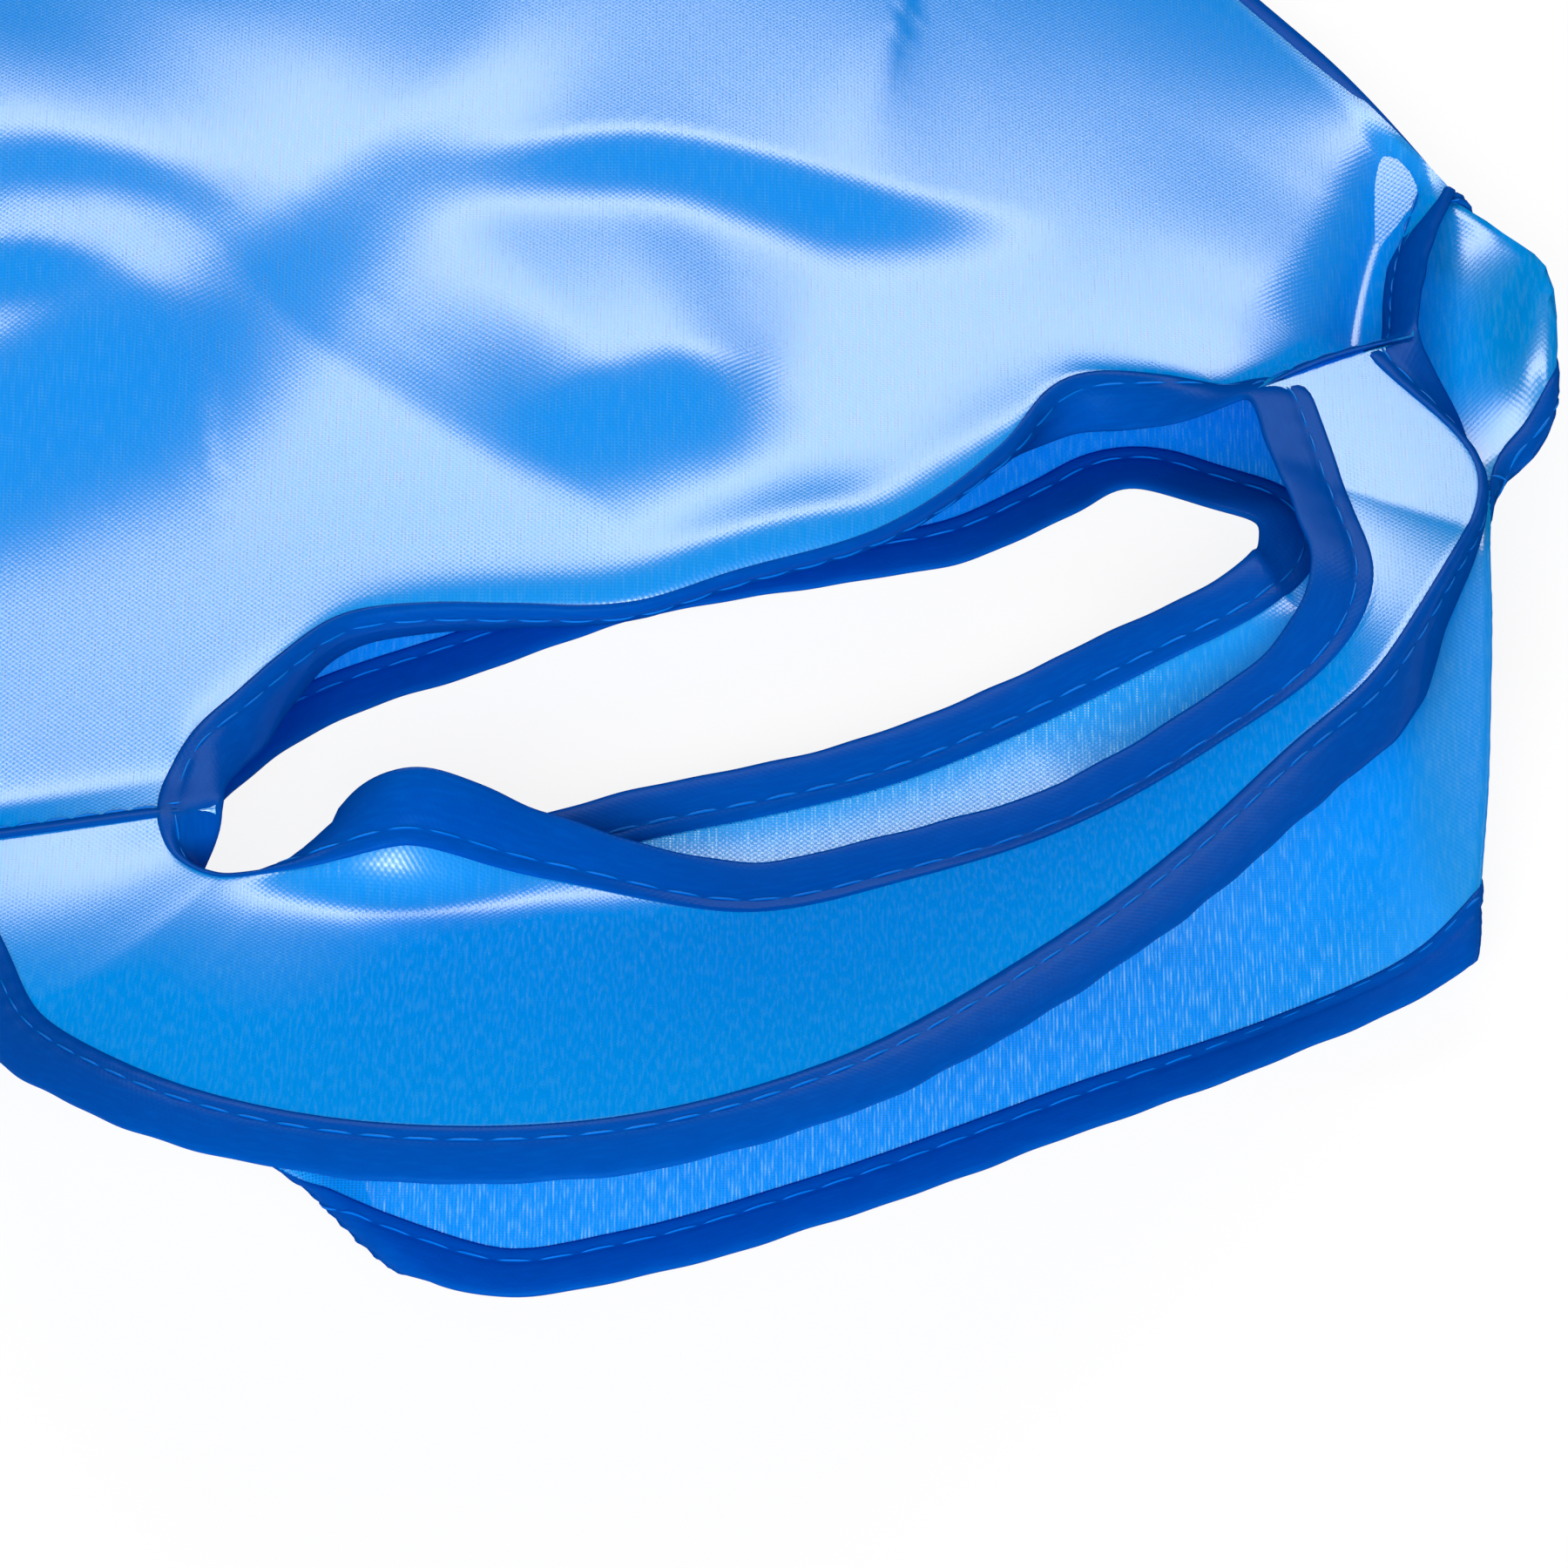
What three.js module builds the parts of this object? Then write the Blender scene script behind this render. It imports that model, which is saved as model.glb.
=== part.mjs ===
// Sewn cloth carrier bag lying on its back, with two crescent loop handles. Millimetres, +Z up.
// X runs across the bag, Y from the mouth (low) to the bottom seam (high).
// Each layer is a body panel with a crescent handle sewn to it at two legs, and every raw edge is
// wrapped in a folded tape: one tape round each hand hole, one along each mouth edge.

import * as THREE from 'three';

// Cloth and sewing
const clothThickness = 0.6;
const tapeThickness = 0.4;
const tapeWidth = 7.5;
const clearance = 0.4;

// Body
const bodyWidth = 260;
const bodyLength = 340;
const puffHeight = 15;
const puffRoundness = 2.4;
const puffTaper = 3;

// Where the mouth edge leaves the side seam and sweeps in to the legs of the handle
const sweepDepth = 35;
const sideSeamTopLift = 8;
const liftLength = 110;
const liftRoundness = 3;

// Handles: the legs are the two strips beside the hole
const holeWidth = 168;
const legWidth = 22;
const holeRise = 12;
const holeRoundness = 2.6;
const frontMouthRoundness = 2.15;
const backMouthRoundness = 3;

// How far each layer's hole and mouth edges reach in front of the seam at the legs
const frontHoleReach = 43;
const frontMouthReach = 112;
const backHoleReach = 14;
const backMouthReach = 95;

// The front handle stands up over the mouth, and the edge of its hole sags
const mouthLift = 14;
const holeSag = 8;

// Grid steps
const handleSteps = 40;
const bandSteps = 6;
const sweepSteps = 8;
const legSteps = 2;
const holeSteps = 24;
const hemSteps = 2;
const bodySteps = 13;

// Values that follow from those sizes
const halfWidth = bodyWidth / 2;
const halfHole = holeWidth / 2;
const halfHandle = halfHole + legWidth;
const sideSeamTop = sweepDepth;
const bottomSeam = sideSeamTop + bodyLength;
const tapeSlot = clothThickness / 2 + clearance;
const tapeReach = tapeSlot + tapeThickness;
const flatHeight = clothThickness / 2;
const hemRoom = tapeWidth + 2 * clearance;
const hemRamp = 4 * tapeWidth;

const cloth = new THREE.MeshStandardMaterial({ color: 0x1596f2, roughness: 0.42, metalness: 0 });
const tape = new THREE.MeshStandardMaterial({ color: 0x0b56b4, roughness: 0.5, metalness: 0 });

// 1 at or before start, 0 at or after end, with a soft change between
function fade(value, start, end) {
  return 1 - THREE.MathUtils.smoothstep(value, start, end);
}

// A sine or cosine bent towards a superellipse
function bent(value, roundness) {
  return Math.sign(value) * Math.abs(value) ** (2 / roundness);
}

// The side seams are lifted off the table at their top, near the mouth
function sideLift(y) {
  return sideSeamTopLift * fade(y, sideSeamTop, sideSeamTop + liftLength);
}

// 1 over the bound end of the bag, in front of the side seams' top, and 0 over the body behind it
function hemShare(y) {
  return fade(y, sideSeamTop + hemRoom, sideSeamTop + hemRoom + hemRamp);
}

// The back layer lies flat, raised by its tapes near the mouth and by the side seams' tops
function backHeight(x, y) {
  const towardSide = (Math.abs(x) / halfWidth) ** liftRoundness;
  return THREE.MathUtils.lerp(flatHeight, tapeReach, hemShare(y)) + towardSide * sideLift(y);
}

// The front layer is sewn to the back one along the sides and the bottom, and puffs up between them
function frontHeight(x, y) {
  const flatStack = flatHeight + clothThickness + clearance;
  const hemStack = 3 * tapeReach + clearance;
  const seam = THREE.MathUtils.lerp(flatStack, hemStack, hemShare(y));
  const across = 1 - (Math.min(Math.abs(x), halfWidth) / halfWidth) ** puffRoundness;
  const along = 1 - THREE.MathUtils.clamp((y - sideSeamTop) / bodyLength, 0, 1) ** puffTaper;
  return seam + sideLift(y) + puffHeight * across * along;
}

// Handle: a runs over the loop from the left leg (-90 degrees) to the right leg, b across the band
// from the edge of the hole (0) to the mouth edge (1)
function handlePlan(a, b, holeReach, mouthReach, mouthRoundness) {
  const round = THREE.MathUtils.lerp(holeRoundness, mouthRoundness, b);
  const halfSpan = THREE.MathUtils.lerp(halfHole, halfHandle, b);
  const reach = THREE.MathUtils.lerp(holeReach, mouthReach, b);
  return [halfSpan * bent(Math.sin(a), round), -reach * bent(Math.cos(a), round)];
}

function frontHandlePoint(a, b) {
  const [x, y] = handlePlan(a, b, frontHoleReach, frontMouthReach, frontMouthRoundness);
  const overMouth = Math.cos(a) ** 2;
  const lift = THREE.MathUtils.lerp(-holeSag, mouthLift, b) * overMouth;
  return new THREE.Vector3(x, y, frontHeight(x, y) + lift);
}

function backHandlePoint(a, b) {
  const [x, y] = handlePlan(a, b, backHoleReach, backMouthReach, backMouthRoundness);
  return new THREE.Vector3(x, y, backHeight(x, y));
}

// Near edge of a panel, from one side seam's top to the other: a sweep in to the leg, the seam
// across the leg, the far edge of the hole, the other leg and the other sweep
function panelEdge() {
  const right = [];
  for (let i = 0; i <= holeSteps / 2; i++) {
    const turn = (i / holeSteps) * Math.PI;
    const [out, up] = [Math.sin(turn), Math.cos(turn)].map((value) => bent(value, holeRoundness));
    right.push([halfHole * out, holeRise * up]);
  }
  for (let i = 1; i < legSteps; i++) {
    right.push([halfHole + (legWidth * i) / legSteps, 0]);
  }
  for (let i = 0; i <= sweepSteps; i++) {
    const turn = (i / sweepSteps) * (Math.PI / 2);
    const out = (halfWidth - halfHandle) * (1 - Math.cos(turn));
    right.push([halfHandle + out, sweepDepth * Math.sin(turn)]);
  }
  const left = right.slice(1).reverse().map(([x, y]) => [-x, y]);
  return [...left, ...right].map(([x, y]) => [x, y + clearance]);
}

// Rows of a panel: a few from its near edge to the line behind the hems, one where the hems' lift
// has run out, and the others spread evenly to the bottom seam
function panelRows(nearY) {
  const hemLine = sideSeamTop + hemRoom;
  const rows = [];
  for (let i = 0; i <= hemSteps; i++) {
    rows.push(THREE.MathUtils.lerp(nearY, hemLine, i / hemSteps));
  }
  for (let i = 0; i <= bodySteps; i++) {
    rows.push(THREE.MathUtils.lerp(hemLine + hemRamp, bottomSeam, i / bodySteps));
  }
  return rows;
}

function panelGrid(height) {
  const edge = panelEdge();
  const columns = edge.map(([nearX, nearY], i) => {
    const farX = halfWidth * ((2 * i) / (edge.length - 1) - 1);
    return panelRows(nearY).map((y) => {
      const x = THREE.MathUtils.mapLinear(y, nearY, bottomSeam, nearX, farX);
      return new THREE.Vector3(x, y, height(x, y));
    });
  });
  return columns[0].map((_, j) => columns.map((column) => column[j]));
}

function handleGrid(point) {
  const rows = [];
  for (let j = 0; j <= bandSteps; j++) {
    const row = [];
    for (let i = 0; i <= handleSteps; i++) {
      row.push(point((i / handleSteps - 0.5) * Math.PI, j / bandSteps));
    }
    rows.push(row);
  }
  return rows;
}

// Upward normal of a grid at one of its points
function gridNormal(grid, j, i) {
  const row = grid[j];
  const along = row[Math.min(i + 1, row.length - 1)].clone().sub(row[Math.max(i - 1, 0)]);
  const across = grid[Math.min(j + 1, grid.length - 1)][i].clone().sub(grid[Math.max(j - 1, 0)][i]);
  const normal = along.cross(across).normalize();
  return normal.z < 0 ? normal.negate() : normal;
}

function geometryOf(points, faces) {
  const geometry = new THREE.BufferGeometry();
  geometry.setAttribute('position', new THREE.Float32BufferAttribute(points.flatMap((p) => p.toArray()), 3));
  geometry.setIndex(faces);
  geometry.computeVertexNormals();
  return geometry;
}

// Turns the faces over if the closed body that they make is inside out
function outward(points, faces) {
  let volume = 0;
  for (let k = 0; k < faces.length; k += 3) {
    const [a, b, c] = [points[faces[k]], points[faces[k + 1]], points[faces[k + 2]]];
    volume += a.dot(b.clone().cross(c));
  }
  return volume < 0 ? faces.toReversed() : faces;
}

// Closed sheet of cloth: the grid's points moved half the thickness up and down, joined round the rim
function clothSheet(grid) {
  const rows = grid.length;
  const columns = grid[0].length;
  const sides = [1, -1].map((side) => grid.flatMap((row, j) => row.map((p, i) => (
    p.clone().addScaledVector(gridNormal(grid, j, i), (side * clothThickness) / 2)))));
  const points = sides.flat();
  const under = rows * columns;
  const faces = [];
  const quad = (a, b, c, d) => faces.push(a, b, c, a, c, d);
  for (let j = 0; j < rows - 1; j++) {
    for (let i = 0; i < columns - 1; i++) {
      const corner = j * columns + i;
      quad(corner, corner + 1, corner + columns + 1, corner + columns);
      quad(under + corner, under + corner + columns, under + corner + columns + 1, under + corner + 1);
    }
  }
  const rim = [];
  for (let i = 0; i < columns - 1; i++) rim.push(i);
  for (let j = 0; j < rows - 1; j++) rim.push(j * columns + columns - 1);
  for (let i = columns - 1; i > 0; i--) rim.push((rows - 1) * columns + i);
  for (let j = rows - 1; j > 0; j--) rim.push(j * columns);
  rim.forEach((point, k) => {
    const next = rim[(k + 1) % rim.length];
    quad(next, point, under + point, under + next);
  });
  return geometryOf(points, outward(points, faces));
}

// A bound edge: the edge's points, with the cloth's normal and a point inside the cloth at each
function boundEdge(grid, edgeRow, innerRow) {
  return grid[edgeRow].map((point, i) => ({
    point,
    normal: gridNormal(grid, edgeRow, i),
    inside: grid[innerRow][i],
  }));
}

// Folded tape: a U section that runs along an edge with the cloth in its slot
function foldedTape(edge, closed) {
  const section = [
    [tapeWidth, tapeReach], [-clearance - tapeThickness, tapeReach],
    [-clearance - tapeThickness, -tapeReach], [tapeWidth, -tapeReach],
    [tapeWidth, -tapeSlot], [-clearance, -tapeSlot], [-clearance, tapeSlot], [tapeWidth, tapeSlot],
  ];
  const count = edge.length;
  const points = edge.flatMap(({ point, normal, inside }, k) => {
    const last = closed ? edge[(k + count - 1) % count] : edge[Math.max(k - 1, 0)];
    const next = closed ? edge[(k + 1) % count] : edge[Math.min(k + 1, count - 1)];
    const tangent = next.point.clone().sub(last.point);
    const inward = tangent.cross(normal).normalize();
    if (inward.dot(inside.clone().sub(point)) < 0) inward.negate();
    return section.map(([into, up]) => (
      point.clone().addScaledVector(inward, into).addScaledVector(normal, up)));
  });
  const size = section.length;
  const faces = [];
  for (let k = 0; k < (closed ? count : count - 1); k++) {
    for (let m = 0; m < size; m++) {
      const here = k * size;
      const there = ((k + 1) % count) * size;
      const n = (m + 1) % size;
      faces.push(here + m, here + n, there + n, here + m, there + n, there + m);
    }
  }
  if (!closed) {
    const outline = section.map(([into, up]) => new THREE.Vector2(into, up));
    const end = (count - 1) * size;
    THREE.ShapeUtils.triangulateShape(outline, []).forEach(([a, b, c]) => {
      faces.push(a, c, b, end + a, end + b, end + c);
    });
  }
  return geometryOf(points, outward(points, faces));
}

// One layer of the bag: its panel, its handle and the two tapes
function addLayer(group, side, height, handlePoint) {
  const panel = panelGrid(height);
  const handle = handleGrid(handlePoint);
  const panelNear = boundEdge(panel, 0, 1);
  const nearHole = boundEdge(handle, 0, 1);
  const farHole = panelNear.slice(sweepSteps + legSteps + 1, -(sweepSteps + legSteps + 1)).reverse();
  const leftSweep = panelNear.slice(0, sweepSteps);
  const rightSweep = panelNear.slice(-sweepSteps);
  const mouth = boundEdge(handle, bandSteps, bandSteps - 1);

  const pieces = [
    ['panel', clothSheet(panel), cloth],
    ['handle', clothSheet(handle), cloth],
    ['hole_binding', foldedTape([...nearHole, ...farHole], true), tape],
    ['mouth_binding', foldedTape([...leftSweep, ...mouth, ...rightSweep], false), tape],
  ];
  for (const [name, geometry, material] of pieces) {
    const mesh = new THREE.Mesh(geometry, material.clone());
    mesh.name = `${side}_${name}`;
    group.add(mesh);
  }
}

const bag = new THREE.Group();
addLayer(bag, 'front', frontHeight, frontHandlePoint);
addLayer(bag, 'back', backHeight, backHandlePoint);

// The origin is at the middle of the box round the bag, on the table
const box = new THREE.Box3().setFromObject(bag);
const middle = box.getCenter(new THREE.Vector3());
bag.position.set(-middle.x, -middle.y, -box.min.z);

export default bag;
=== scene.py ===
import math

import bpy
import numpy as np
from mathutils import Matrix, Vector
from mathutils.bvhtree import BVHTree


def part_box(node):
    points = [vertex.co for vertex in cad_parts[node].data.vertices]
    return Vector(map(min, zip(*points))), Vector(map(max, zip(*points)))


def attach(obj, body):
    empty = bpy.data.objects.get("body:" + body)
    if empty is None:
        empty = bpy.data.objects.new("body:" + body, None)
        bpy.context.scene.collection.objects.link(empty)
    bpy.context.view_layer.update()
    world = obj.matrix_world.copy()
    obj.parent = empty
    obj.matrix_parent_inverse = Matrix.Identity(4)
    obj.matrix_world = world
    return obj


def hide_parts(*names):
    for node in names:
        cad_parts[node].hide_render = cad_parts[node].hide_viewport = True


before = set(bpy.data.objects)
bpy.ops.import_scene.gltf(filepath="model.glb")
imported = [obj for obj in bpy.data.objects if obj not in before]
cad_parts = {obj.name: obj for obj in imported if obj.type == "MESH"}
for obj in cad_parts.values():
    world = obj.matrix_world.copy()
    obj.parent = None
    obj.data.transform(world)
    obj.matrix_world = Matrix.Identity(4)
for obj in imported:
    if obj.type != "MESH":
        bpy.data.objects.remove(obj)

bpy.ops.object.select_all(action="DESELECT")
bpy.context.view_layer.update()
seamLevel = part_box("front_handle")[1].y * 1000  # mm, where the legs are sewn to the panels
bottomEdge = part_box("front_panel")[1].y * 1000 - seamLevel - 1.5
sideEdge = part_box("front_panel")[1].x * 1000 - 1.5
print("frame loaded")

# Points below are in mm: x across the bag, y from the leg seams towards the bottom seam, z up.


def chordLengths(points):
    steps = np.linalg.norm(np.diff(points, axis=0), axis=1)
    return np.concatenate([[0], np.cumsum(steps)])


def smoothThrough(knots, values, at):  # cubic curve through the values
    gaps = np.diff(knots)[:, None]
    slopes = np.diff(values, axis=0) / gaps
    tangents = np.empty_like(values)
    tangents[1:-1] = (slopes[:-1] * gaps[1:] + slopes[1:] * gaps[:-1]) / (gaps[:-1] + gaps[1:])
    tangents[0] = slopes[0]
    tangents[-1] = slopes[-1]
    index = np.clip(np.searchsorted(knots, at, side="right") - 1, 0, len(gaps) - 1)
    gap = gaps[index]
    t = (at[:, None] - knots[index][:, None]) / gap
    start = (2 * t**3 - 3 * t**2 + 1) * values[index] + (t**3 - 2 * t**2 + t) * gap * tangents[index]
    end = (3 * t**2 - 2 * t**3) * values[index + 1] + (t**3 - t**2) * gap * tangents[index + 1]
    return start + end


def evenCurve(points, count):  # points evenly spaced along a smooth curve
    points = np.array(points, float)
    knots = chordLengths(points)
    dense = smoothThrough(knots, points, np.linspace(0, knots[-1], 60 * len(points)))
    along = chordLengths(dense)
    at = np.linspace(0, along[-1], count)
    return np.stack([np.interp(at, along, dense[:, axis]) for axis in range(dense.shape[1])], axis=1)


def fade(value):  # 0 to 1 with level ends
    value = np.clip(value, 0, 1)
    return value * value * (3 - 2 * value)


def gridNormals(grid):
    normals = np.cross(np.gradient(grid, axis=1), np.gradient(grid, axis=0))
    return normals / np.linalg.norm(normals, axis=2, keepdims=True)


# Turns an edge of the cloth down, or up where the turn is below zero
def curlEdge(grid, row, turns, depth, hinge):
    normals = gridNormals(grid)
    order = slice(None) if row == 0 else slice(None, None, -1)
    lines, normals = grid[order].copy(), normals[order]
    for column, turn in enumerate(turns):
        line = lines[:, column].copy()
        run = chordLengths(line)
        inner = np.array([np.interp(depth, run, line[:, axis]) for axis in range(3)])
        outward = line[0] - inner
        outward /= np.linalg.norm(outward)
        up = normals[np.searchsorted(run, depth), column]
        up = up - up.dot(outward) * outward
        up /= np.linalg.norm(up)
        away = np.linspace(0, depth, 60)
        angle = turn * fade(away / hinge)
        step = away[1]
        out = np.concatenate([[0], np.cumsum(np.cos(angle[1:]) * step)])
        down = np.concatenate([[0], np.cumsum(np.sin(angle[1:]) * step)])
        bent = run < depth
        reach = depth - run[bent]
        lines[bent, column] = (inner + np.interp(reach, away, out)[:, None] * outward
                               - np.interp(reach, away, down)[:, None] * up)
    return lines[order]


# Signed distance from a line in plan, the nearest point's number and the way past that point
def nearestOnLine(x, y, line):
    ahead = np.gradient(line, axis=0)
    ahead /= np.linalg.norm(ahead, axis=1, keepdims=True)
    spot = np.stack([x, y], axis=-1)
    away = spot[..., None, :] - line
    index = np.argmin((away**2).sum(axis=-1), axis=-1)
    nearest = np.take_along_axis(away, index[..., None, None], axis=-2)[..., 0, :]
    heading = ahead[index]
    distance = nearest[..., 1] * heading[..., 0] - nearest[..., 0] * heading[..., 1]
    overshoot = (nearest * heading).sum(axis=-1)
    return distance, index, overshoot


eye = np.array([-525.3, -1081.2, 1070.6])  # where the photograph was taken from


# Moves points down along the photograph's sightlines, so that the outline stays
def slideDown(points, drop):
    away = points - eye
    return points - away * (drop / away[..., 2])[..., None]


def toFrame(points):  # mm from the leg seams to metres in the frame
    return (np.asarray(points) + np.array([0, seamLevel, 0])) / 1000


def newObject(name, points, faces):
    mesh = bpy.data.meshes.new(name)
    mesh.from_pydata([tuple(point) for point in toFrame(points)], [], faces)
    mesh.validate()
    piece = bpy.data.objects.new(name, mesh)
    bpy.context.collection.objects.link(piece)
    return piece


def applyModifier(piece, kind, **values):
    modifier = piece.modifiers.new(kind.title(), kind)
    for key, value in values.items():
        setattr(modifier, key, value)
    bpy.context.view_layer.objects.active = piece
    piece.select_set(True)
    bpy.ops.object.modifier_apply(modifier=modifier.name)
    piece.select_set(False)


def smoothShade(piece, angle):
    bpy.context.view_layer.objects.active = piece
    piece.select_set(True)
    bpy.ops.object.shade_smooth_by_angle(angle=math.radians(angle))
    piece.select_set(False)


def addWeaveMap(piece, flat):  # UV map in metres along and across the cloth's threads
    layer = piece.data.uv_layers.new(name="weave")
    corners = np.array([loop.vertex_index for loop in piece.data.loops])
    layer.data.foreach_set("uv", (flat.reshape(-1, 2)[corners] / 1000).ravel())


def outwardFaces(piece):
    bpy.context.view_layer.objects.active = piece
    piece.select_set(True)
    bpy.ops.object.mode_set(mode="EDIT")
    bpy.ops.mesh.select_all(action="SELECT")
    bpy.ops.mesh.normals_make_consistent(inside=False)
    bpy.ops.object.mode_set(mode="OBJECT")
    piece.select_set(False)


def clothSheet(name, grid, flat, sheerAndShade, thickness):  # the see-through value is how open the weave is, 0 to 1, lowered as painted shade where shade falls under the cloth
    rows, columns = grid.shape[:2]
    faces = []
    for row in range(rows - 1):
        for column in range(columns - 1):
            first = row * columns + column
            faces.append((first, first + 1, first + columns + 1, first + columns))
    piece = newObject(name, grid.reshape(-1, 3), faces)
    addWeaveMap(piece, flat)
    sheerShadeValues = piece.data.attributes.new("sheerAndShade", "FLOAT", "POINT")
    sheerShadeValues.data.foreach_set("value", np.broadcast_to(sheerAndShade, (rows, columns)).ravel())
    applyModifier(piece, "SOLIDIFY", thickness=thickness / 1000, offset=0)
    smoothShade(piece, 60)
    return piece


def edgeOf(grid, row, inner, columns=slice(None)):  # points, inward directions and normals of an edge
    points = grid[row, columns]
    return np.stack([points, grid[inner, columns] - points, gridNormals(grid)[row, columns]], axis=1)


def eased(values, turns, closed):  # a row of values smoothed along its length
    for turn in range(turns):
        softer = 0.25 * np.roll(values, 1, axis=0) + 0.5 * values + 0.25 * np.roll(values, -1, axis=0)
        if not closed:
            softer[0], softer[-1] = values[0], values[-1]
        values = softer
    return values


def evenEdge(edge, step, rounding, closed=False):  # an edge in even steps, with its frames squared up
    if closed:
        edge = np.concatenate([edge, edge[:1]])
    along = chordLengths(edge[:, 0])
    at = np.linspace(0, along[-1], max(8, round(along[-1] / step)) + 1)
    even = np.stack(
        [[np.interp(at, along, edge[:, kind, axis]) for axis in range(3)] for kind in range(3)]
    ).transpose(2, 0, 1)
    if closed:
        even = even[:-1]
    points = eased(even[:, 0], rounding, closed)
    rough = even[:, 1]
    normals = eased(even[:, 2], 5 * rounding, closed)
    if closed:
        ahead = np.roll(points, -1, axis=0) - np.roll(points, 1, axis=0)
    else:
        ahead = np.gradient(points, axis=0)
    ahead /= np.linalg.norm(ahead, axis=1, keepdims=True)
    normals = normals - (normals * ahead).sum(axis=1, keepdims=True) * ahead
    normals /= np.linalg.norm(normals, axis=1, keepdims=True)
    inward = np.cross(normals, ahead)
    if (inward * rough).sum() < 0:
        inward = -inward
    along = chordLengths(points)
    return {"points": points, "inward": inward, "normals": normals, "closed": closed, "along": along}


def sweep(name, edge, points, shape=None):  # rings of points joined along an edge
    count, sides = points.shape[:2]
    reach = chordLengths(points[count // 2])
    if shape:
        points = shape(points)
    faces = []
    for station in range(count if edge["closed"] else count - 1):
        here, there = station * sides, (station + 1) % count * sides
        for side in range(sides):
            after = (side + 1) % sides
            faces.append((here + side, here + after, there + after, there + side))
    if not edge["closed"]:
        faces.append(tuple(range(sides))[::-1])
        faces.append(tuple((count - 1) * sides + side for side in range(sides)))
    piece = newObject(name, points.reshape(-1, 3), faces)
    addWeaveMap(piece, np.stack(np.broadcast_arrays(reach[None, :], edge["along"][:, None]), axis=-1))
    outwardFaces(piece)
    smoothShade(piece, 75)
    return piece


tapeSettings = {
    "width": 7.5,
    "nose": 0.75,  # how far the fold stands out past the cloth's edge
    "half": 0.5,  # half of the folded tape's thickness
    "stitchLine": 5.2,  # from the cloth's edge
    "groove": 0.24,
    "wander": 0.22,  # uneven width of hand-guided sewing
    "stitch": 4.7,
    "gap": 0.6,
    "thread": 0.17,
    "threadLevel": 0.36,  # from the cloth's middle to the thread's, on both faces
    "step": 0.9,
    "gather": 16,  # length over which the ends narrow into the side seams
    "lapAt": (-57, -17),  # where the tape of the front hole starts and ends
    "lap": 2.2,
    "lapLength": 45,
}


def tapeSection(settings):  # from the cloth's edge to the inner fold, as (inward, height)
    half, line, width = settings["half"], settings["stitchLine"], settings["width"]
    return np.array([
        (0, half * 0.95), (0.9, half * 1.1), (2.2, half * 1.16), (3.6, half * 1.1),
        (line - 0.6, half * 0.95), (line, half * 0.95 - settings["groove"]), (line + 0.6, half * 0.92),
        (width - 0.6, half * 0.88), (width - 0.1, half * 0.55), (width, 0),
    ])


def alongCloth(edge, cloth, reaches, rounding):  # follows the cloth inward from an edge
    rows = []
    for point, inward in zip(edge["points"], edge["inward"]):
        here, heading = Vector(point), Vector(inward)
        row = [point]
        for near, far in zip(reaches[:-1], reaches[1:]):
            place = cloth.find_nearest(here + heading * (far - near))[0]
            moved = place - here
            if moved.length > 0.2 * (far - near):
                heading = moved.normalized()
            here = here + heading * (far - near)
            row.append(np.array(here))
        rows.append(row)
    strip = np.array(rows)
    strip = eased(strip, rounding, edge["closed"])
    if edge["closed"]:
        ahead = np.roll(strip, -1, axis=0) - np.roll(strip, 1, axis=0)
    else:
        ahead = np.gradient(strip, axis=0)
    across = np.gradient(strip, axis=1)
    across /= np.linalg.norm(across, axis=2, keepdims=True)
    normals = np.cross(across, ahead)
    normals /= np.linalg.norm(normals, axis=2, keepdims=True)
    if (normals * edge["normals"][:, None]).sum() < 0:
        normals = -normals
    return strip, across, normals


def carried(edge, section):  # one section set out at every point of an edge
    return (edge["points"][:, None] + section[:, :1] * edge["inward"][:, None]
            + section[:, 1:] * edge["normals"][:, None])


def foldedTape(name, edge, strip, settings, seed, narrow, lap, shape=None):
    chance = np.random.default_rng(seed)
    middle, across, normals = strip
    section = tapeSection(settings)
    along = edge["along"][:, None]
    pitch = settings["stitch"] + settings["gap"]
    phases = chance.uniform(0, 2 * math.pi, 3)
    wander = sum(np.sin(along * rate + phase) for rate, phase in zip((0.21, 0.37, 0.62), phases)) / 3
    pucker = 0.5 + 0.5 * np.cos(2 * math.pi * along / pitch)
    heights = section[:, 1] * (
        1 - 0.16 * pucker * fade(1 - np.abs(section[:, 0] - settings["stitchLine"]) / 3.5))
    outerShare = fade((settings["stitchLine"] - section[:, 0]) / settings["stitchLine"])
    middle = middle - (settings["wander"] * wander * outerShare)[..., None] * across
    middle = middle[:, :1] + narrow[:, None, None] * (middle - middle[:, :1])
    middle = middle - (lap[:, None] * outerShare)[..., None] * across
    lift = heights[..., None] * normals
    nose = middle[:, :1] - settings["nose"] * across[:, :1]
    brow = middle[:, :1] - 0.8 * settings["nose"] * across[:, :1]
    browLift = 0.6 * settings["half"] * normals[:, :1]
    ring = np.concatenate(
        [nose, brow + browLift, middle + lift, (middle - lift)[:, -2::-1], brow - browLift], axis=1)
    return sweep(name, edge, ring, shape)


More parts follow.
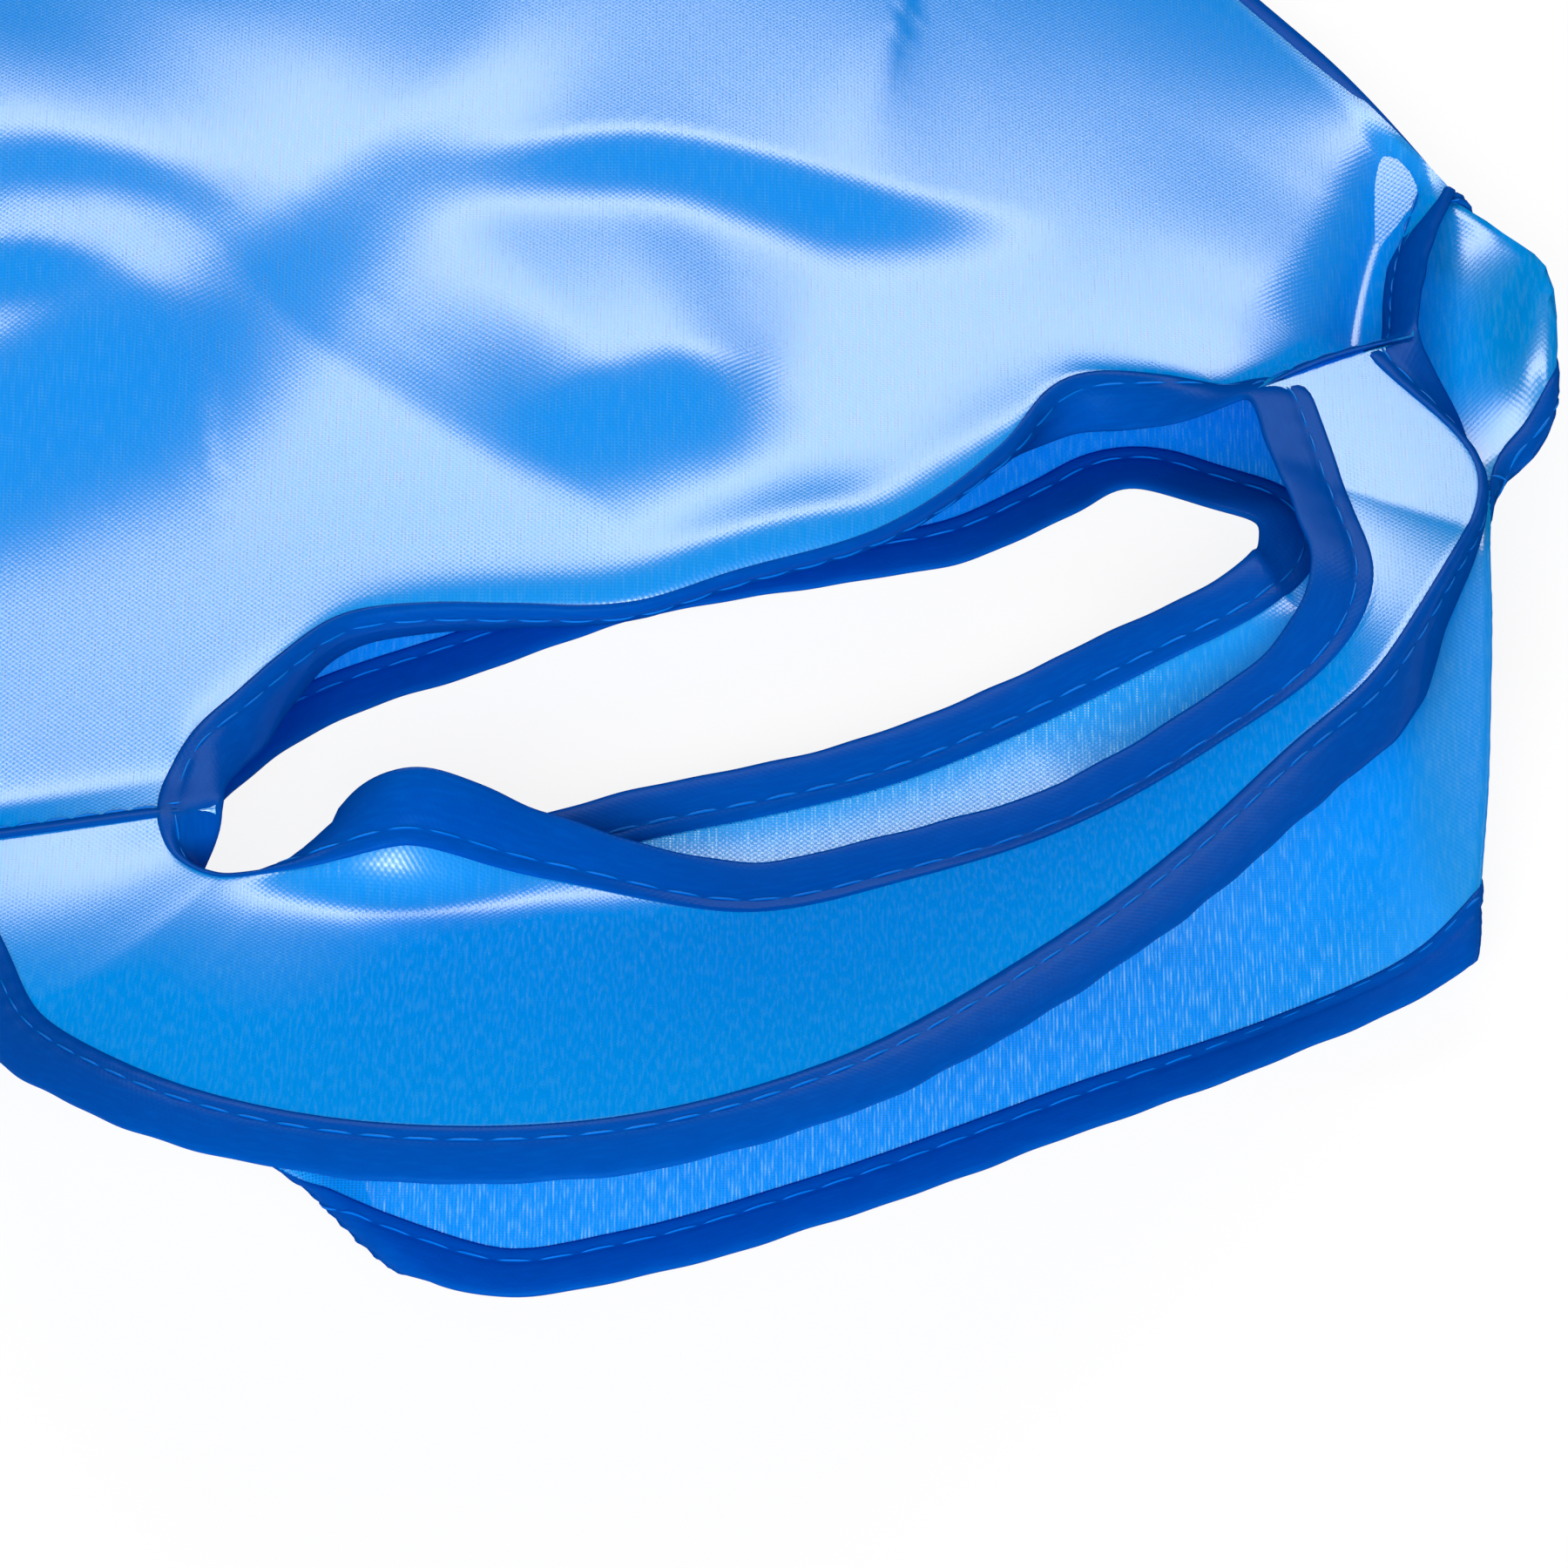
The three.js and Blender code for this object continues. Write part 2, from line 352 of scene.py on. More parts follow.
def stitchRow(name, edge, settings, heights, shape=None):  # running stitch, one short thread each
    pitch = settings["stitch"] + settings["gap"]
    along = chordLengths(edge["points"])
    rings = np.linspace(-1, 1, 6)
    sides = 6
    angles = np.arange(sides) * 2 * math.pi / sides
    points, faces = [], []
    for height in heights:
        for number in range(int(along[-1] / pitch)):
            middle = (number + 0.5) * pitch
            first = len(points)
            for ring in rings:
                at = middle + ring * settings["stitch"] / 2
                place, inward, normal = [
                    np.array([np.interp(at, along, edge[key][:, axis]) for axis in range(3)])
                    for key in ("points", "inward", "normals")]
                swell = math.sqrt(max(0.04, 1 - abs(ring) ** 3))
                dip = settings["thread"] * 1.1 * abs(ring) ** 2
                for angle in angles:
                    sideways = settings["thread"] * swell * math.cos(angle)
                    upward = settings["thread"] * swell * math.sin(angle) - dip
                    level = math.copysign(1, height) * (abs(height) + upward)
                    points.append(place + sideways * inward + level * normal)
            for ring in range(len(rings) - 1):
                here, there = first + ring * sides, first + (ring + 1) * sides
                for side in range(sides):
                    after = (side + 1) % sides
                    faces.append((here + side, here + after, there + after, there + side))
            faces.append(tuple(range(first, first + sides))[::-1])
            faces.append(tuple(range(len(points) - sides, len(points))))
    points = np.array(points)
    piece = newObject(name, shape(points) if shape else points, faces)
    outwardFaces(piece)
    smoothShade(piece, 80)
    return piece


# Upper layer, arched over the mouth

frontHandleSettings = {
    "stations": [  # across the band: hole edge, mouth edge
        ((-69.5, -7.7, 18.3), (-108, 3.5, 17.5)),
        ((-70.5, -12.5, 18.5), (-111.5, -20, 21.5)),
        ((-68.5, -17, 19), (-115, -42.5, 28.5)),
        ((-63, -19.5, 18), (-110.5, -65.5, 36.5)),
        ((-50.6, -25, 14.5), (-95, -88.5, 41)),
        ((-34.5, -29.5, 11.5), (-67.3, -106, 42.7)),
        ((-13.5, -40, 6.8), (-31, -109.5, 42.2)),
        ((5, -44.6, 6.6), (5, -97.5, 36.7)),
        ((27.6, -48.4, 8.4), (31, -85.5, 33.2)),
        ((46, -49, 13.2), (53, -73.5, 30.7)),
        ((62.5, -46, 17.5), (72.4, -63.7, 28.2)),
        ((70.5, -38.5, 21), (89.9, -49.3, 26)),
        ((75, -24, 22.5), (106.4, -29.8, 23.5)),
        ((82, 1, 23), (106.5, 2.5, 22)),
    ],
    # one value for each station: the band's middle stood out, the hole edge turned up beside the left leg
    "bows": [0, -1, -2, -2, -1, 0, 0, 1, 2, 2, 2, 1.5, 1, 0],
    "hump": [0, 0, 0.5, 4.5, 13.5, 6, 0, 0, 0, 0, 0, 0, 0, 0],
    "humpDepth": 8,
    # and the turned hems, in radians
    "mouthTurn": [0.1, 0.3, 0.45, 0.6, 0.65, 0.65, 0.65, 0.65, 0.65, 0.75, 1.2, 1.6, 1.6, 0.1],
    "holeTurn": [0, 1.5, 1.6, 0.7, 0, -0.4, -0.7, -0.75, -0.75, -0.75, -0.75, -0.6, -0.3, 0],
    "curl": (8.3, 3.5),  # depth of the turned strip and of its bend
    "crease": [(73, -7), (79.5, -15.8), (84.3, -23.6), (89.4, -31.8), (97, -44)],  # across the right leg
    "creaseHeight": 1.8,
    "creaseSpread": (8, 45),  # from the crease to its full height, and out to level again
    "columns": 240,
    "rows": 84,
    "thickness": 0.2,
    "flat": (0.222, 0.112),
    "area": 0.0135,
}


def handleKnots(settings):  # lengths along the band's middle at its stations
    return chordLengths(np.array(settings["stations"], float).mean(axis=1))


def handleStations(settings):  # station numbers of the grid's columns
    knots = handleKnots(settings)
    return np.interp(np.linspace(0, knots[-1], settings["columns"]), knots, np.arange(len(knots)))


def handleGrid(settings):
    stations = np.array(settings["stations"], float)
    knots = handleKnots(settings)
    at = np.linspace(0, knots[-1], settings["columns"])
    hole, mouth = smoothThrough(knots, stations[:, 0], at), smoothThrough(knots, stations[:, 1], at)
    share = np.linspace(0, 1, settings["rows"])[:, None, None]
    return mouth[None] * (1 - share) + hole[None] * share


def alongStations(values, at):  # one value for each station, smoothed between them
    return smoothThrough(np.arange(float(len(values))), np.array(values, float)[:, None], at)[:, 0]


frontHandleGrid = handleGrid(frontHandleSettings)
bandShare = np.linspace(0, 1, frontHandleSettings["rows"])[:, None]
stationAt = handleStations(frontHandleSettings)
bows = np.interp(stationAt, np.arange(len(frontHandleSettings["bows"])), frontHandleSettings["bows"])
standOut = bows * 4 * bandShare * (1 - bandShare)
frontHandleGrid = frontHandleGrid + gridNormals(frontHandleGrid) * standOut[..., None]
hump = alongStations(frontHandleSettings["hump"], stationAt)
fromHole = np.linalg.norm(frontHandleGrid - frontHandleGrid[-1], axis=2)
frontHandleGrid[..., 2] += hump * np.exp(-((fromHole / frontHandleSettings["humpDepth"]) ** 2))
for key, row in (("mouthTurn", 0), ("holeTurn", -1)):
    hemTurns = alongStations(frontHandleSettings[key], stationAt)
    frontHandleGrid = curlEdge(frontHandleGrid, row, hemTurns, *frontHandleSettings["curl"])
creaseLine = evenCurve(frontHandleSettings["crease"], 60)
distance = nearestOnLine(frontHandleGrid[..., 0], frontHandleGrid[..., 1], creaseLine)[0]
soon, late = frontHandleSettings["creaseSpread"]
frontHandleGrid[..., 2] += frontHandleSettings["creaseHeight"] * (
    1 - np.exp(-np.maximum(-distance, 0) / soon)) * np.exp(-((distance / late) ** 2))

frontPanelSettings = {
    "sweepLeft": [(-131.5, 37, 12), (-125, 29.5, 14), (-119, 20, 16), (-112.5, 11, 17), (-108, 3.5, 17.5)],
    "legLeft": [(-108, 3.5, 17.5), (-96, 0, 18), (-84, -3.5, 18.2), (-69.5, -7.7, 18.3)],
    "hole": [
        (-69.5, -7.7, 18.3), (-68, -4, 19), (-64.2, 0.5, 19.4), (-57.5, 4, 19.2), (-49.5, 8, 18.6),
        (-39.3, 11.4, 17.4), (-29.5, 9, 16), (-20.5, 5, 15), (-5.5, -1.4, 14), (8.5, -2.2, 14),
        (28, -3, 14), (51.7, 4, 16), (66.9, 11.5, 20.6), (72.5, 8.5, 20.6), (82, 1, 23),
    ],
    "legRight": [(82, 1, 23), (94, 2.6, 22.8), (106.5, 2.5, 22)],
    "sweepRight": [(106.5, 2.5, 22), (111, 10, 20), (116, 17.8, 17.5), (120, 23.3, 16), (125.5, 30.2, 14),
                   (131.5, 37, 12)],
    "counts": (30, 16, 120, 14, 30),  # columns along each of the five stretches above
    "rows": 150,
    "puff": 18,  # height of the swell over the inside
    "holeTurn": [0, 1.7, 1.9, 1.9, 1.9, 1.8, 0],  # the hem rolls down along the hole, radians
    "curl": (8.3, 4.5),  # depth of the turned strip and of its bend
    "valley": (6.5, 8, 5),  # the cloth dips inside the shoulders' hems: depth, distance and width
    "softFrom": (90, 30),  # the folds soften from here on, over this length
    "softTurns": 10,
    "folds": [  # crest line, height, spread on the near side, spread on the far side
        ([(50, 130), (32, 122), (15, 110), (-1, 99), (-14, 92), (-34, 83), (-60, 74)], 3.6, 12, 90),
        ([(-15, 69), (-23, 75), (-31, 79.5), (-42, 82), (-56, 82), (-78, 81), (-104, 84)], 9, 19, 80),
        ([(-89, 130), (-46, 113), (-35, 107), (-14, 90)], 3, 6, 60),
        ([(-94, 104), (-54, 95), (-46, 90), (-32, 76)], 2.6, 6, 50),
        ([(0, 101), (13, 93), (27, 87), (40, 80), (49, 72), (58, 64.5), (71, 57.5), (84, 50)], 4.6, 8, 100),
        ([(38, 34), (27, 39.5), (15, 42.5), (4, 43), (-5, 42), (-12, 39.8)], 5.2, 13, 45),
        ([(-8, -14), (0, -3), (11, 3), (22, 3), (32, -4), (38, -14)], 2.2, 10, 10),
        ([(30, -12), (40, -2), (51, 6), (61, 9), (80, 0)], 2, 9, 10),
        ([(118, 40), (97, 30), (88, 23), (83, 0)], 1.2, 8, 24),
        ([(-70, 175), (-10, 190), (60, 180)], 6, 18, 22),
        ([(-40, 300), (0, 240), (30, 215)], 5, 16, 16),
        ([(60, 290), (80, 240), (100, 190)], 4, 14, 14),
        ([(-112, 335), (-65, 300), (-10, 285)], 5, 14, 20),
        ([(15, 262), (62, 312), (104, 345)], 5, 14, 20),
        ([(-118, 238), (-70, 226), (-15, 246)], 4, 12, 18),
        ([(-60, 362), (-42, 330), (-30, 296)], 3, 10, 12),
        ([(38, 300), (50, 330), (46, 362)], 3, 10, 12),
        ([(-120, 168), (-84, 172), (-38, 160)], 4, 12, 20),
        ([(52, 152), (88, 156), (119, 138)], 3.5, 12, 20),
    ],
    "thickness": 0.2,
    "flat": (0.262, 0.375),
    "area": 0.092,
}


def sideLift(y, top):  # height of the side seams, which lift towards the mouth
    return 0.9 + top * fade((110 - (y - 35)) / 110) ** 1.2


def frontHeight(x, y, settings):
    across = np.clip(np.abs(x) / sideEdge, 0, 1)
    along = np.clip((y + 20) / (bottomEdge + 20), 0, 1)
    swell = settings["puff"] * (1 - across**2.4) * (1 - along**3)
    height = sideLift(y, 10) * across**3 + 1.2 + swell
    for crest, rise, nearSide, farSide in settings["folds"]:
        line = evenCurve(crest, 240)
        distance, index, overshoot = nearestOnLine(x, y, line)
        place = (index + overshoot / np.linalg.norm(line[1] - line[0])) / (len(line) - 1)
        ends = fade(place * 2.4) * fade((1 - place) * 2.4)
        isNear = distance * np.sign(line[-1, 0] - line[0, 0]) < 0
        spread = np.where(isNear, nearSide, farSide)
        calm = fade((sideEdge + 4 - np.abs(x)) / 12) * fade((bottomEdge + 2 - y) / 20)
        height = height + rise * ends * calm * np.exp(-((distance / spread) ** 2))
    return height


def panelGrid(edges, counts, rows, heightAt, blend):
    parts = [evenCurve(points, count) for points, count in zip(edges, counts)]
    near = np.concatenate([parts[0]] + [part[1:] for part in parts[1:]])
    columns = len(near)
    farX = np.linspace(-sideEdge, sideEdge, columns)
    share = np.linspace(0, 1, rows)[:, None] ** 1.35
    y = near[:, 1] + (bottomEdge - near[:, 1]) * share
    lean = fade(share * 3.2)
    x = near[:, 0] * (1 - lean) + farX * lean
    height = heightAt(x, y)
    gap = np.hypot(x - near[:, 0], y - near[:, 1])
    keep = np.exp(-((gap / blend) ** 2))
    z = height + (near[:, 2] - height[0]) * keep
    return np.stack([x, y, z], axis=-1)


def panelSpans(counts):  # columns of each stretch of a panel's near edge
    spans, start = [], 0
    for count in counts:
        spans.append(slice(start, start + count))
        start += count - 1
    return spans


stretches = ("sweepLeft", "legLeft", "hole", "legRight", "sweepRight")
frontPanelGrid = panelGrid(
    [frontPanelSettings[key] for key in stretches], frontPanelSettings["counts"], frontPanelSettings["rows"],
    lambda x, y: frontHeight(x, y, frontPanelSettings), 6,
)
rollAt = np.linspace(0, len(frontPanelSettings["holeTurn"]) - 1, frontPanelSettings["counts"][2])
rollTurns = np.zeros(frontPanelGrid.shape[1])
rollTurns[panelSpans(frontPanelSettings["counts"])[2]] = alongStations(frontPanelSettings["holeTurn"], rollAt)
softTurns = frontPanelSettings["softTurns"]
softened = eased(eased(frontPanelGrid[..., 2], softTurns, False).T, softTurns, False).T
softStart, softLength = frontPanelSettings["softFrom"]
farBody = fade((frontPanelGrid[..., 1] - softStart) / softLength)
frontPanelGrid[..., 2] += farBody * (softened - frontPanelGrid[..., 2])
frontPanelGrid = curlEdge(frontPanelGrid, 0, rollTurns, *frontPanelSettings["curl"])
valleyDepth, valleyAt, valleyWidth = frontPanelSettings["valley"]
for key in ("sweepLeft", "sweepRight"):
    hem = evenCurve(frontPanelSettings[key], 120)[:, :2]
    distance, index, overshoot = nearestOnLine(frontPanelGrid[..., 0], frontPanelGrid[..., 1], hem)
    fromLeg = index / 119 if key == "sweepRight" else 1 - index / 119  # 0 at the leg, 1 at the side seam
    calm = fade((sideEdge + 2.9 - np.abs(frontPanelGrid[..., 0])) / 4) * np.exp(-((overshoot / 12) ** 2))
    clear = 1 - np.exp(-((distance / 3) ** 2))  # the hem itself stays up
    dip = np.exp(-np.sqrt(((np.abs(distance) - valleyAt) / valleyWidth) ** 2 + 0.02))
    frontPanelGrid[..., 2] -= valleyDepth * fade(fromLeg / 0.3) * calm * clear * dip

# Lower layer, flat on the table with its handle's sides folded under

backHandleSettings = {
    "stations": [  # flat cut, hole edge then mouth edge, and height above the cloth's own surface
        ((-80, -3, 0), (-117, -12.5, 0)),
        ((-74, -8, 0), (-113, -25, 0)),
        ((-63, -11, 0), (-102, -43, 0)),
        ((-50, -12, 0), (-89, -61, 0)),
        ((-38, -12, 0), (-80, -75, 0)),
        ((-28, -12.5, 0), (-69.5, -87, 0)),
        ((-14, -13.6, 0), (-52, -92, 0)),
        ((0, -16, 0), (-28, -93.5, 0)),
        ((18, -18, 0), (8, -93, 0)),
        ((38, -16.5, 0), (40, -92.5, 0)),
        ((57, -13.6, 0), (66, -88, 0)),
        ((70, -11.5, 0), (88, -72, 0)),
        ((78, -8, 0), (105, -47, 0)),
        ((82, -4, 0), (119, -26, 0)),
        ((84, 0, 0), (117, -12.5, 0)),
    ],
    "columns": 260,
    "rows": 60,
    "foldRight": [  # line that the cloth is folded under, up the strap's side and round the shoulder
        (54, -107), (60.5, -96), (67.3, -85), (74.4, -73.5), (83, -59.6), (91.2, -45.4), (99.5, -30.7),
        (107.5, -15.8), (110.5, -11), (114, -8), (119, -6), (123.5, -3), (128.4, 4.5), (132.6, 13),
        (134.4, 19.8), (132.8, 27.5), (131.6, 36), (131.8, 44), (134, 60),
    ],
    "foldLeft": [
        (-66, -106), (-71.5, -93), (-75, -82), (-78, -71), (-80.5, -58), (-92, -36), (-104, -18),
        (-110, -11), (-114, -8), (-119, -6), (-123.5, -3), (-128.4, 4.5), (-132.6, 13),
        (-134.4, 19.8), (-132.8, 27.5), (-131.6, 36), (-131.8, 44), (-134, 60),
    ],
    "rise": (2.4, 60),  # height and spread, where the strap's sides stand off the table
    "holeHem": 2,  # the hem of the hole stands up
    "climb": 3.5,  # the strap rises from the mouth to the legs
    "climbRight": 12,  # and more so at its right side
    "radius": 1.1,  # of the folds
    "thickness": 0.2,
    "flat": (0.22, 0.095),
    "area": 0.0125,
}

backPanelSettings = {
    "sweepLeft": [
        (-131.5, 38.5, 0), (-139.5, 34, 0), (-144, 27, 0), (-145, 17, 0), (-142.5, 7.5, 0),
        (-136, -1.5, 0), (-128, -7.5, 0), (-121.5, -11, 0), (-117, -12.5, 0),
    ],
    "legLeft": [(-117, -12.5, 0), (-97, -6, 0), (-80, -3, 0)],
    "hole": [
        (-80, -3, 0), (-72, 2, 0), (-60, 12, 0), (-45.6, 18.2, 0), (-20, 19.5, 0), (4.7, 19.6, 0),
        (30, 14, 0), (47, 10.9, 0), (62, 13, 0), (72, 14.5, 0), (77.5, 8, 0), (84, 0, 0),
    ],
    "legRight": [(84, 0, 0), (97, -4, 0), (117, -12.5, 0)],
    "sweepRight": [
        (117, -12.5, 0), (121.5, -11, 0), (128, -7.5, 0), (136, -1.5, 0), (142.5, 7.5, 0),
        (145, 17, 0), (144, 27, 0), (139.5, 34, 0), (131.5, 38.5, 0),
    ],
    "counts": (40, 12, 90, 12, 40),
    "rows": 90,
    "lift": 10,  # height of the side seams at the mouth
    "pinch": ([(133, 14), (129, 9), (125, 3)], 1.6, 2.6),  # fold at the right shoulder: line, height, spread
    "ground": 0.9,  # the cloth's middle surface above the table, so that the tape clears it
    "thickness": 0.2,
    "flat": (0.272, 0.372),
    "area": 0.092,
}

holeNear = evenCurve([station[0][:2] for station in backHandleSettings["stations"]], 200)


def backLayer(points):  # flat cut, with z as the height above the cloth, to the layer as it lies
    x, y, above = points[..., 0].copy(), points[..., 1].copy(), points[..., 2]
    nearHole = np.abs(nearestOnLine(x, y, holeNear)[0]) + 3 * np.maximum(np.abs(x) - 78, 0)
    hem = backHandleSettings["holeHem"] * np.exp(-((nearHole / 6) ** 2)) * (y < 0)
    crest, pinchHeight, pinchSpread = backPanelSettings["pinch"]
    distance, index, overshoot = nearestOnLine(x, y, evenCurve(crest, 40))
    pinch = pinchHeight * np.exp(-((distance / pinchSpread) ** 2) - (overshoot / 4) ** 2)
    z = backPanelSettings["ground"] + hem + pinch
    radius = backHandleSettings["radius"]
    turnedOver = above.copy()
    for key, side in (("foldRight", -1), ("foldLeft", 1)):
        line = evenCurve(backHandleSettings[key], 420)
        ahead = np.gradient(line, axis=0)
        ahead /= np.linalg.norm(ahead, axis=1, keepdims=True)
        outward = np.stack([-ahead[:, 1], ahead[:, 0]], axis=1) * side
        distance, index, overshoot = nearestOnLine(x, y, line)
        distance = distance * side
        turned = (distance > 0) & ((index > 0) | (overshoot > 0))
        angle = np.clip(distance / radius, 0, math.pi)
        rest = np.maximum(distance - math.pi * radius, 0)
        rise, spread = backHandleSettings["rise"]
        inside = np.where(turned, rest, distance)
        z = z + rise * np.exp(-((inside / spread) ** 2)) * fade((-2 - y) / 20)
        base = line[index]
        drift = np.stack([x, y], axis=-1) - base - distance[..., None] * outward[index]
        reach = (radius + above) * np.sin(angle) - rest
        x = np.where(turned, base[..., 0] + drift[..., 0] + outward[index][..., 0] * reach, x)
        y = np.where(turned, base[..., 1] + drift[..., 1] + outward[index][..., 1] * reach, y)
        turnedOver = np.where(turned, (radius + above) * np.cos(angle) - radius, turnedOver)
    lift = backPanelSettings["lift"] * fade((145 - y) / 110) ** 1.2 * fade((y + 25) / 32)
    slope = (np.abs(x) - 100) / 31.5
    z = z + lift * 0.5 * (slope + np.sqrt(slope**2 + 0.01))
    height = backHandleSettings["climb"] + backHandleSettings["climbRight"] * fade((x - 35) / 45)
    climb = height * np.clip((y + 112) / 92, 0, 1) * fade((30 - y) / 40)
    return slideDown(np.stack([x, y, z + turnedOver], axis=-1), -climb)


backHandleFlat = handleGrid(backHandleSettings)
backPanelFlat = panelGrid(
    [backPanelSettings[key] for key in stretches], backPanelSettings["counts"], backPanelSettings["rows"],
    lambda x, y: np.zeros_like(x), 14,
)
outside = np.abs(backPanelFlat[..., 0]) - sideEdge
drawnIn = 0.92 * fade((backPanelFlat[..., 1] - 31) / 9)  # the flaps end at the side seams
backPanelFlat[..., 0] -= np.sign(backPanelFlat[..., 0]) * np.maximum(outside, 0) * drawnIn
print("cloth shaped")

plainSheer = 0.3
# The lower layer's see-through is closed off at its shoulders and towards the strap's right: painted shade,
# so that less white shows through where shade falls under it
bodySheerAndShade = plainSheer * fade((110 - np.abs(backPanelFlat[..., 0])) / 20)
strapSheerAndShade = fade((78 - backHandleFlat[..., 0]) / 40)
frontPanel = clothSheet(
    "frontPanel", frontPanelGrid, frontPanelGrid[..., :2], plainSheer, frontPanelSettings["thickness"])
frontHandle = clothSheet(
    "frontHandle", frontHandleGrid, frontHandleGrid[..., :2], plainSheer, frontHandleSettings["thickness"])
backPanel = clothSheet(
    "backPanel", backLayer(backPanelFlat), backPanelFlat[..., :2], bodySheerAndShade, backPanelSettings["thickness"])
backHandle = clothSheet(
    "backHandle", backLayer(backHandleFlat), backHandleFlat[..., :2], strapSheerAndShade,
    backHandleSettings["thickness"])
print("sheets made")

# Folded tape bound over the edges


def boundEdges(panel, handle, counts):  # the mouth from side seam to side seam, and the ring round the hole
    spans = dict(zip(stretches, panelSpans(counts)))
    left, hole, right = [edgeOf(panel, 0, 1, spans[key]) for key in ("sweepLeft", "hole", "sweepRight")]
    mouth = np.concatenate([left[:-1], edgeOf(handle, 0, 1), right[1:]])
    ring = np.concatenate([edgeOf(handle, -1, -2), hole[1:-1][::-1]])
    return mouth, ring


frontMouth, frontRing = boundEdges(frontPanelGrid, frontHandleGrid, frontPanelSettings["counts"])
backMouth, backRing = boundEdges(backPanelFlat, backHandleFlat, backPanelSettings["counts"])
step = tapeSettings["step"]
edges = {
    "frontMouth": evenEdge(frontMouth, step, 3),
    "frontHole": evenEdge(frontRing, step, 3, closed=True),
    "backMouth": evenEdge(backMouth, step, 2),
    "backHole": evenEdge(backRing, step, 3, closed=True),
}


def clothTree(grids):  # the cloth of one layer, to find the nearest place on it
    points, faces = [], []
    for grid in grids:
        rows, columns = grid.shape[:2]
        corners = len(points) + np.arange(rows * columns).reshape(rows, columns)
        quads = np.stack([corners[:-1, :-1], corners[:-1, 1:], corners[1:, 1:], corners[1:, :-1]], axis=-1)
        points += grid.reshape(-1, 3).tolist()
        faces += quads.reshape(-1, 4).tolist()
    return BVHTree.FromPolygons(points, faces)


frontTree = clothTree([frontPanelGrid, frontHandleGrid])
backTree = clothTree([backPanelFlat, backHandleFlat])
reaches = tapeSection(tapeSettings)[:, 0]
stitchLevels = (tapeSettings["threadLevel"], -tapeSettings["threadLevel"])
tapes, stitches = {}, {}
for number, (key, edge) in enumerate(edges.items()):
    isBack = key.startswith("back")
    strip = alongCloth(edge, backTree if isBack else frontTree, reaches, 4)
    shape = backLayer if isBack else None
    along, spots = edge["along"], edge["points"]
    lap, narrow = np.zeros(len(along)), np.ones(len(along))
    if key == "frontHole":  # the tape's end is lapped beside the left leg
        start = along[np.argmin(np.linalg.norm(spots[:, :2] - np.array(tapeSettings["lapAt"]), axis=1))]
        lap = tapeSettings["lap"] * (along >= start) * fade(1 + (start - along) / tapeSettings["lapLength"])
    if not edge["closed"]:  # the ends are gathered into the side seams
        narrow = 0.15 + 0.85 * fade(np.minimum(along, along[-1] - along) / tapeSettings["gather"])
    if key == "backMouth":  # the lower strap's tape leans away at the right
        narrow = narrow * (1 - 0.2 * fade((spots[:, 0] - 10) / 40) * fade((-20 - spots[:, 1]) / 10))
    tapes[key] = foldedTape(key + "Tape", edge, strip, tapeSettings, 11 + number, narrow, lap, shape)
    groove = np.argmin(np.abs(reaches - tapeSettings["stitchLine"]))
    sewn = {name: values[:, groove] for name, values in zip(("points", "inward", "normals"), strip)}
    stitches[key] = stitchRow(key + "Stitches", sewn, tapeSettings, stitchLevels, shape)
print("tape bound")

# Seams

seamSettings = {
    "side": (1.6, 0.75, 12),  # half width, half height and corners of the roll
    "sideTaper": 40,  # length over which a roll thins out at its ends
    "underRim": 0.4,  # the side and bottom roll sits below the upper panel's rim
    "leg": (1.2, 0.4, 10),
    "legTaper": 9,
    "legInset": 0.9,
    "stitchInset": 2,
    "stitch": 3.2,
    "gap": 0.5,
    "thread": 0.15,
}


def roundSection(half, thick, sides):
    angles = np.arange(sides) * 2 * math.pi / sides
    return np.stack([half * np.cos(angles), thick * np.sin(angles)], axis=1)


rim = frontPanelGrid - np.array([0, 0, seamSettings["underRim"]])
outline = np.concatenate([rim[:, 0], rim[-1, 1:-1], rim[::-1, -1]])
upright = np.repeat(np.array([[0, 0, 1.0]]), len(outline), axis=0)
towards = np.array([0, 120, 1]) - outline
sideEdgePath = evenEdge(np.stack([outline, towards, upright], axis=1), 1.5, 2)


def tapered(edge, section, length):  # a section that thins out towards both ends of an edge
    rings = carried(edge, section)
    along = edge["along"]
    thin = 0.12 + 0.88 * fade(np.minimum(along, along[-1] - along) / length)
    return edge["points"][:, None] + thin[:, None, None] * (rings - edge["points"][:, None])


sideRings = tapered(sideEdgePath, roundSection(*seamSettings["side"]), seamSettings["sideTaper"])
sideSeam = sweep("sideSeam", sideEdgePath, sideRings)


def legSeam(name, grid, span, shape):
    edge = evenEdge(edgeOf(grid, 0, 2, span), 1.0, 1)
    ridge = roundSection(*seamSettings["leg"])
    ridge[:, 0] += seamSettings["legInset"]
    return sweep(name, edge, tapered(edge, ridge, seamSettings["legTaper"]), shape), edge


seams = {}
for key, grid, counts, shape in (("front", frontPanelGrid, frontPanelSettings["counts"], None),
                                 ("back", backPanelFlat, backPanelSettings["counts"], backLayer)):
    spans = panelSpans(counts)
    for side, span in (("Left", spans[1]), ("Right", spans[3])):
        seam, edge = legSeam(key + "Seam" + side, grid, span, shape)
        seams[key + side] = seam
        edge["points"] = edge["points"] + seamSettings["stitchInset"] * edge["inward"]
        stitches[key + side] = stitchRow(
            key + "SeamStitches" + side, edge, seamSettings, stitchLevels, shape)
print("seams sewn")

# Materials

